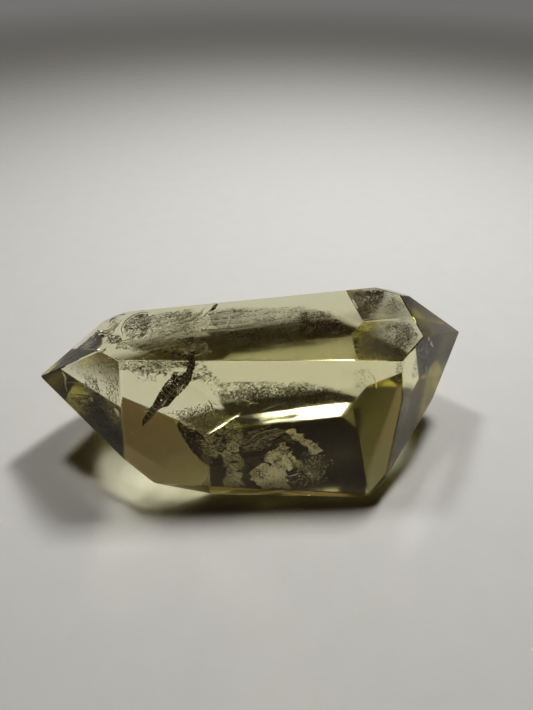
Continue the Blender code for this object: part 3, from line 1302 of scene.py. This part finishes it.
# The rough curtain that hangs between the feather and the disc.
CURTAIN = Break(
    name="curtain",
    place=(-8.84, -7.33, 20.92),
    along=(-0.086, -0.185, -0.979),
    across=(0.859, 0.483, -0.167),
    patches=(
        Patch(
            outline=(
                (5.7, -6.3), (7.0, -4.9), (8.8, -2.9), (10.5, -1.0), (12.7, 0.3), (17.5, 0.7),
                (16.4, -0.9), (13.6, -2.9), (11.2, -4.2), (8.8, -5.3),
            ),
            light=0.0, spread=0.0, ragged=0.2, haze=0.85,
        ),
    ),
    streaks=(
        Streak(((4.9, -6.5), (6.2, -5.8), (7.7, -4.4), (9.4, -2.4)), 0.35, 0.9),
        Streak(((4.5, 0.1), (5.4, 0.7), (6.2, 0.9)), 0.2, 0.6),
        Streak(((9.0, 10.2), (8.6, 11.8), (8.3, 13.9), (8.6, 16.9)), 0.2, 0.45),
        Streak(((5.9, 6.4), (7.0, 8.5), (7.3, 9.7)), 0.3, 0.65),
        Streak(((7.0, 7.7), (6.9, 8.9)), 0.3, 0.85),
    ),
    flecks=(
        Flecks(
            outline=(
                (-0.3, -0.7), (-0.2, 0.9), (2.1, 2.8), (4.8, 4.4), (5.8, 3.0), (3.5, 1.0), (1.4, -0.1),
            ),
            count=190, length=(0.15, 0.5), slim=0.3, heading=20.0, wander=50.0, light=(0.1, 0.7),
            clumps=0.9,
        ),
        Flecks(
            outline=(
                (5.6, -5.5), (5.7, -1.9), (5.4, 0.0), (7.9, 3.8), (11.0, 6.7), (14.1, 6.1), (15.4, 3.4),
                (15.7, 1.0), (14.1, -1.0), (10.9, -2.5), (8.2, -4.0),
            ),
            count=2400, length=(0.2, 0.8), slim=0.25, heading=70.0, wander=40.0, light=(0.1, 0.95),
            clumps=1.0, depth=0.7,
        ),
        Flecks(
            outline=((2.8, 2.8), (4.3, 6.3), (6.7, 9.7), (7.9, 8.5), (6.3, 4.9)),
            count=130, length=(0.2, 0.8), slim=0.25, heading=60.0, wander=30.0, light=(0.15, 0.9),
            clumps=0.9,
        ),
    ),
    seed=61,
)

# Flecks in the stout half.
STOUT_VEIL = Break(
    name="stout_veil",
    place=(21.31, -0.21, 16.52),
    along=(0.995, -0.044, 0.088),
    across=(0.0, 0.894, 0.447),
    streaks=(
        Streak(((-3.0, -2.3), (-2.6, -3.6), (-2.6, -5.2)), 0.15, 0.8),
    ),
    flecks=(
        Flecks(
            outline=((-5.8, -0.7), (-3.7, -1.1), (-2.9, -3.2), (-2.9, -4.9), (-6.2, -4.7)),
            count=150, length=(0.2, 0.6), slim=0.2, heading=15.0, wander=30.0, light=(0.2, 0.9),
            clumps=0.8,
        ),
        Flecks(
            outline=((2.3, 3.4), (4.3, 3.8), (5.8, -0.4), (3.8, -2.8), (1.4, -5.1), (0.6, -3.5)),
            count=420, length=(0.2, 0.7), slim=0.25, heading=25.0, wander=30.0, light=(0.0, 0.5),
            clumps=0.9,
        ),
    ),
    seed=71,
)

# Painted shade in the stout point: dark misty sheets that stand in for the shade seen there.
STOUT_PAINTED_SHADE = Break(
    name="stout_painted_shade",
    place=(19.57, 5.93, 22.43),
    along=(1.0, 0.0, -0.024),
    across=(0.0, 1.0, -0.02),
    bow=0.0,
    patches=(
        Patch(
            outline=(
                (-3.0, 3.6), (-2.7, 0.8), (-2.4, -2.0), (-2.1, -4.0), (0.2, -4.2), (1.3, -3.1),
                (2.5, -0.8), (3.7, 1.7), (5.0, 3.5), (3.3, 4.3), (-0.4, 4.2),
            ),
            light=0.03, spread=0.05, haze=0.8, fade=1.2, pitch=1.6, ragged=0.5,
        ),
        Patch(
            outline=(
                (2.5, -0.8), (1.3, -3.1), (2.2, -4.9), (5.1, -5.0), (6.6, -2.6), (6.5, 0.5), (6.0, 2.2),
                (4.9, 3.2),
            ),
            light=0.08, spread=0.1, haze=0.33, fade=1.2, pitch=1.6, ragged=0.5,
        ),
        Patch(
            outline=((-4.0, -5.9), (-1.9, -4.9), (6.2, -5.7), (6.0, -9.7), (1.5, -15.1), (-6.1, -14.6)),
            light=0.08, spread=0.08, haze=0.44, fade=1.6, pitch=1.6, ragged=0.3,
        ),
        Patch(
            outline=((2.9, -6.0), (6.2, -5.9), (6.1, -9.5), (3.6, -12.6), (1.8, -14.2), (1.0, -12.5)),
            light=0.03, spread=0.04, haze=0.28, fade=1.2, ragged=0.3,
        ),
    ),
    streaks=(
        Streak(((-2.6, 1.1), (-2.5, -0.2), (-2.4, -1.7)), 0.35, 1.0),
        Streak(((-3.4, -5.4), (-0.8, -4.7), (3.0, -4.6), (6.2, -5.4)), 0.2, 0.5),
    ),
    seed=75,
)

# Two glints by the stout tip.
TIP_GLOW = Break(
    name="tip_glow",
    place=(30.32, -2.56, 15.57),
    along=(0.707, 0.643, -0.294),
    across=(0.0, 0.416, 0.909),
    bow=0.0,
    streaks=(
        Streak(((-4.6, 5.6), (-3.7, 4.8), (-2.2, 3.4)), 0.6, 1.0),
        Streak(((-4.7, 0.6), (-4.1, -0.7)), 0.4, 1.0),
    ),
    seed=81,
)

BREAKS = (
    DISC, BACK_VEIL, TOP_VEIL, SHOULDER_CLOUD, SHOULDER_SPECKS, CHIP_RIBS, NOSE_GLINTS, POINT_VEIL,
    LEAF_FEATHER, FRONT_GLINTS, CURTAIN, STOUT_VEIL, STOUT_PAINTED_SHADE, TIP_GLOW,
)


@dataclass(frozen=True)
class Lamp:
    """A soft white lamp: where it hangs, how long and deep its window is, and its power."""

    name: str
    place_mm: tuple[float, float, float]
    length_mm: float
    depth_mm: float
    watts: float


@dataclass
class Studio:
    """A plain pale floor, soft lamps behind the stone, a dim room and the camera."""

    floor_radius: float = 3.0
    floor_gap: float = 0.04 * MM  # air between the card and a facet that rests on it
    floor_rings: int = 16
    floor_sides: int = 96
    ring_growth: float = 1.4  # each ring of the floor is this many times as wide as the last

    # The camera's place, angles and focal length were fitted by a separate program.
    camera_mm: tuple[float, float, float] = (-6.122, -66.251, 76.437)
    pitch_down: float = 41.571
    turn_right: float = 6.181
    roll: float = 0.673
    focal_px: float = 520.29
    picture_height_px: float = 710.0
    sensor_mm: float = 36.0
    nearest: float = 2 * MM
    farthest: float = 10.0

    lamps: tuple[Lamp, ...] = (
        Lamp("lamp_right", (95.0, 110.0, 246.0), 36.0, 42.0, 0.46),
        Lamp("lamp_middle", (61.0, 110.0, 246.0), 28.0, 42.0, 0.03),
        Lamp("lamp_left", (-60.0, 108.0, 250.0), 36.0, 32.0, 0.22),
    )
    aim_mm: tuple[float, float, float] = (0.0, 0.0, 10.0)

    # The room's light goes from the horizon's to the overhead one between two heights, as
    # parts of a line of length 1. That is times the front's share plus the back's, which
    # goes with a power of how far back a line looks, from 0 to 1.
    horizon: float = 0.115
    overhead: float = 0.006
    fade_low: float = 0.05
    fade_high: float = 0.62
    front_share: float = 0.3
    back_share: float = 2.8
    back_power: float = 3.0
    horizon_tint: str = "#fff1d6"
    overhead_tint: str = "#ffb050"

    # What the film makes of light: (in, out) pairs that deepen the darks and leave the pale tones.
    film: tuple[tuple[float, float], ...] = ((0.03, 0.015), (0.1, 0.078), (0.3, 0.29), (0.55, 0.56))
    film_curve: int = 3  # the one of the four curves that works on all colours together
    inner_bounces: int = 24
    mirror_bounces: int = 12
    open_bounces: int = 32
    training_samples: int = 24

    def build(self) -> None:
        """Makes the floor, the lamps, the room's light, the camera and the film, in that order."""
        self.floor()
        for lamp in self.lamps:
            self.hang(lamp)
        self.air()
        self.camera()
        self.render_looks()

    def floor(self) -> bpy.types.Object:
        """Lays the floor: a flat disc of rings, each a fixed number of times as wide as the last.

        Returns:
            The floor's object.
        """
        sides = self.floor_sides
        shrink = self.ring_growth ** np.arange(self.floor_rings)[::-1]
        radii = (self.floor_radius / shrink)[:, None]
        turn = np.linspace(0, 2 * np.pi, sides, endpoint=False)
        x, y = radii * np.cos(turn), radii * np.sin(turn)
        points = np.stack([x, y, np.full_like(x, -self.floor_gap)], axis=-1).reshape(-1, 3)
        hub = len(points)
        points = np.vstack([points, [[0.0, 0.0, -self.floor_gap]]])
        ring, step = np.meshgrid(np.arange(self.floor_rings - 1), np.arange(sides), indexing="ij")
        here = ring * sides + step
        beside = ring * sides + (step + 1) % sides
        quads = np.stack([here, here + sides, beside + sides, beside], axis=-1).reshape(-1, 4)
        inner = np.arange(sides)
        caps = np.stack([np.full(sides, hub), inner, (inner + 1) % sides], axis=-1)
        mesh = bpy.data.meshes.new("floor")
        mesh.from_pydata(points.tolist(), [], quads.tolist() + caps.tolist())
        mesh.materials.append(MattPaper().material())
        floor = bpy.data.objects.new("floor", mesh)
        bpy.context.scene.collection.objects.link(floor)
        return floor

    def hang(self, lamp: Lamp) -> None:
        """Hangs one soft lamp, its long side level, and aims it at the stone.

        Args:
            lamp: the lamp.
        """
        light = bpy.data.lights.new(lamp.name, "AREA")
        light.shape = "RECTANGLE"
        light.size = lamp.length_mm * MM
        light.size_y = lamp.depth_mm * MM
        light.energy = lamp.watts
        holder = bpy.data.objects.new(lamp.name, light)
        place = Vector(lamp.place_mm) * MM
        away = (place - Vector(self.aim_mm) * MM).normalized()
        level = (Vector((1.0, 0.0, 0.0)) - away * away.x).normalized()
        turned = Matrix((level, away.cross(level), away)).transposed().to_4x4()
        holder.matrix_world = Matrix.Translation(place) @ turned
        bpy.context.scene.collection.objects.link(holder)

    def air(self) -> None:
        """Lights the room dimly: warm and dark overhead, paler low down and at the back."""
        world = bpy.data.worlds.new("dim_room")
        bpy.context.scene.world = world
        world.use_nodes = True
        world.node_tree.nodes.clear()
        place = add_node(world, "ShaderNodeTexCoord")
        way = add_node(world, "ShaderNodeSeparateXYZ", {"Vector": place.outputs["Generated"]})
        fade = add_node(
            world,
            "ShaderNodeMapRange",
            {"Value": way.outputs["Z"]},
            interpolation_type="SMOOTHSTEP",
            From_Min=self.fade_low,
            From_Max=self.fade_high,
            To_Min=self.horizon,
            To_Max=self.overhead,
        )
        tint = add_node(
            world,
            "ShaderNodeMix",
            {"Factor": way.outputs["Z"]},
            data_type="RGBA",
            A=linear(self.horizon_tint),
            B=linear(self.overhead_tint),
        )
        back = add_node(world, "ShaderNodeMapRange", {"Value": way.outputs["Y"]}, From_Min=-1.0)
        swell = add_node(world, "ShaderNodeMath", {0: back.outputs["Result"]}, operation="POWER")
        swell.inputs[1].default_value = self.back_power
        share = add_node(
            world, "ShaderNodeMath", {0: swell.outputs["Value"]}, operation="MULTIPLY_ADD"
        )
        share.inputs[1].default_value = self.back_share
        share.inputs[2].default_value = self.front_share
        strength = add_node(
            world,
            "ShaderNodeMath",
            {0: fade.outputs["Result"], 1: share.outputs["Value"]},
            operation="MULTIPLY",
        )
        glow = add_node(
            world,
            "ShaderNodeBackground",
            {"Strength": strength.outputs["Value"], "Color": tint.outputs["Result"]},
        )
        add_node(world, "ShaderNodeOutputWorld", {"Surface": glow.outputs["Background"]})

    def camera(self) -> None:
        """Places the camera close above the front of the stone, looking down at it."""
        lens = bpy.data.cameras.new("camera")
        lens.sensor_width = self.sensor_mm
        lens.lens = self.sensor_mm * self.focal_px / self.picture_height_px
        lens.clip_start = self.nearest
        lens.clip_end = self.farthest
        camera = bpy.data.objects.new("camera", lens)
        turned = (
            Matrix.Rotation(-radians(self.turn_right), 4, "Z")
            @ Matrix.Rotation(radians(90 - self.pitch_down), 4, "X")
            @ Matrix.Rotation(radians(self.roll), 4, "Z")
        )
        camera.matrix_world = Matrix.Translation(Vector(self.camera_mm) * MM) @ turned
        bpy.context.scene.collection.objects.link(camera)
        bpy.context.scene.camera = camera

    def render_looks(self) -> None:
        """Sets the film's curve, and lets light pass the stone's many inner mirrors unclipped."""
        scene = bpy.context.scene
        view = scene.view_settings
        view.view_transform = "Standard"
        view.use_curve_mapping = True
        curve = view.curve_mapping.curves[self.film_curve]
        for point in self.film:
            curve.points.new(*point)
        view.curve_mapping.update()
        scene.cycles.max_bounces = self.inner_bounces
        scene.cycles.transmission_bounces = self.inner_bounces
        scene.cycles.glossy_bounces = self.mirror_bounces
        scene.cycles.transparent_max_bounces = self.open_bounces
        scene.cycles.sample_clamp_indirect = 0.0
        scene.cycles.blur_glossy = 0.0
        scene.cycles.use_guiding = True
        scene.cycles.guiding_training_samples = self.training_samples


def main() -> None:
    """Builds the stone, what is inside it and the studio, and reports each piece."""
    logging.basicConfig(level=logging.INFO, format="%(name)s: %(message)s")
    Studio().build()
    Stone().build()
    space = StoneSpace(STONE_NODE, SKIN_MARGIN, SMALLEST_FACET)
    finish = FracturedQuartz().material()
    for plane in BREAKS:
        plane.build(space, finish)


if __name__ == "__main__":
    main()
